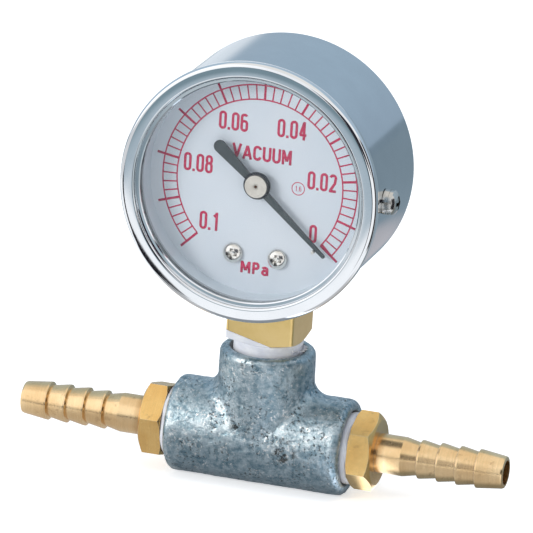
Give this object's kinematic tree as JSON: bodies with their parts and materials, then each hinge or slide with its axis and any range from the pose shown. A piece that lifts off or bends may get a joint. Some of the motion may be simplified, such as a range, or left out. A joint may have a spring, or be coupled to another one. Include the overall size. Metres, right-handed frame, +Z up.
{
  "type": "in-line vacuum gauge",
  "caption": "Round dial vacuum gauge in a chromed case, screwed by its square brass socket into an iron pipe tee with a barbed brass hose nipple at either end.",
  "frame": {"origin": "where the axis of the tee's run meets the axis of its branch", "axes": "+X along the run towards the right-hand nipple, +Z up the branch towards the gauge, dial facing -Y"},
  "size_m": [0.1232, 0.0372, 0.112],
  "materials": {
    "galvanised_iron": "hot-dip galvanised, mottled and pitted",
    "nipple_brass": "turned, pale",
    "socket_brass": "milled flats",
    "ptfe_tape": "unsintered PTFE film",
    "case_chrome": "bright plated",
    "bezel_chrome": "bright plated",
    "window_glass": "clear float glass",
    "gasket_rubber": "black nitrile",
    "ring_paint": "satin pale grey",
    "dial_paint": "satin off-white",
    "screw_nickel": "nickel plated",
    "pin_brass": "drawn wire",
    "tube_bronze": "phosphor bronze",
    "movement_brass": "stamped",
    "arbor_steel": "turned",
    "pointer_paint": "satin black",
    "hub_nickel": "turned and lacquered"
  },
  "bodies": {
    "gauge_and_tee": {"pipe_tee": "galvanised_iron", "hose_nipple_left": "nipple_brass", "hose_nipple_right": "nipple_brass", "thread_tape_left": "ptfe_tape", "thread_tape_right": "ptfe_tape", "thread_tape_gauge": "ptfe_tape", "gauge_socket": "socket_brass", "case_shell": "case_chrome", "bezel_ring": "bezel_chrome", "window": "window_glass", "window_gasket": "gasket_rubber", "spacer_ring": "ring_paint", "dial_plate": "dial_paint", "dial_posts": "movement_brass", "dial_screws": "screw_nickel", "stop_pin": "pin_brass", "side_washers": "screw_nickel", "side_screws": "screw_nickel", "case_screws": "screw_nickel", "bourdon_tube": "tube_bronze", "movement_front_plate": "movement_brass", "movement_back_plate": "movement_brass", "movement_pillars": "movement_brass", "movement_screws": "arbor_steel", "movement_mount_screws": "arbor_steel", "hairspring": "tube_bronze", "hairspring_stud": "movement_brass"},
    "pointer": {"pinion_arbor": "arbor_steel", "hairspring_collet": "movement_brass", "pointer": "pointer_paint", "pointer_hub": "hub_nickel"},
    "sector": {"sector_gear": "movement_brass", "sector_arbor": "arbor_steel", "link_pin_tail": "arbor_steel"},
    "link": {"link": "movement_brass"},
    "tube_tip": {"tube_end_piece": "movement_brass", "link_pin_tip": "arbor_steel"}
  },
  "joints": [
    {"name": "sector_swing", "type": "hinge", "parent": "gauge_and_tee", "child": "sector", "pos_m": [0, -0.0081, 0.0545], "axis": [0, 1, 0], "range_deg": [0, 33.25]},
    {"name": "pointer_spin", "type": "hinge", "parent": "gauge_and_tee", "child": "pointer", "pos_m": [0, -0.0174, 0.068], "axis": [0, -1, 0], "range_deg": [0, 266], "deforming": ["hairspring"]},
    {"name": "link_swing", "type": "hinge", "parent": "sector", "child": "link", "pos_m": [0.00479, -0.00725, 0.05089], "axis": [0, -1, 0], "range_deg": [0, 33.25]},
    {"name": "tip_travel", "type": "slide", "parent": "gauge_and_tee", "child": "tube_tip", "axis": [-0.8052, 0, -0.5931], "range_m": [0, 0.00343], "stiffness_N_per_m": 100, "springref_m": -0.0005, "deforming": ["bourdon_tube"]}
  ],
  "couplings": [
    {"joint": "sector_swing", "follows": "tip_travel", "rad_per_m": 169.04},
    {"joint": "link_swing", "follows": "tip_travel", "rad_per_m": 169.04},
    {"joint": "pointer_spin", "follows": "tip_travel", "rad_per_m": 1352.3}
  ]
}
